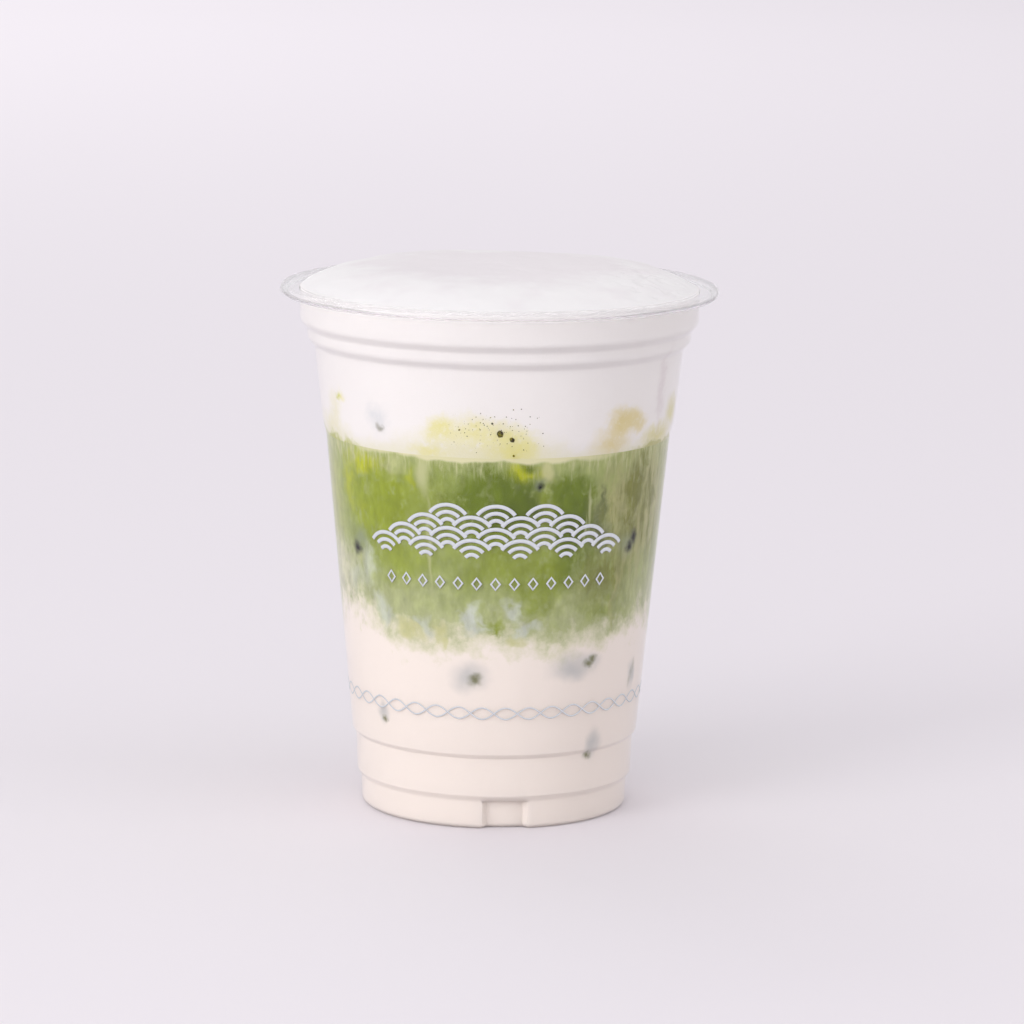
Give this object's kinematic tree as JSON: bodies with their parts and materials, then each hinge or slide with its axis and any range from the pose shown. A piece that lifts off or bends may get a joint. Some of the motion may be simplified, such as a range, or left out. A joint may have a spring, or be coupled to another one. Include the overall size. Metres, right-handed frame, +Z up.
{
  "type": "matcha latte",
  "caption": "Iced matcha latte in a clear tapered takeaway cup: plain milk below, green matcha milk above it and white milk foam mounded over the flat-lipped rim.",
  "frame": {"origin": "middle of the foot, on the surface that the cup stands on", "axes": "+Z up the cup's axis, the front that the picture shows faces -Y, +X to the right of it"},
  "size_m": [0.0978, 0.0978, 0.1232],
  "materials": {
    "clear_plastic": "clear pressed sheet, glossy",
    "milk": "cloudy drink, warm white",
    "matcha": "cloudy drink, mottled moss green",
    "foam": "fine milk foam, soft white"
  },
  "bodies": {
    "root": {"cup": "clear_plastic", "milk": "milk", "matcha": "matcha", "foam": "foam"}
  },
  "joints": []
}
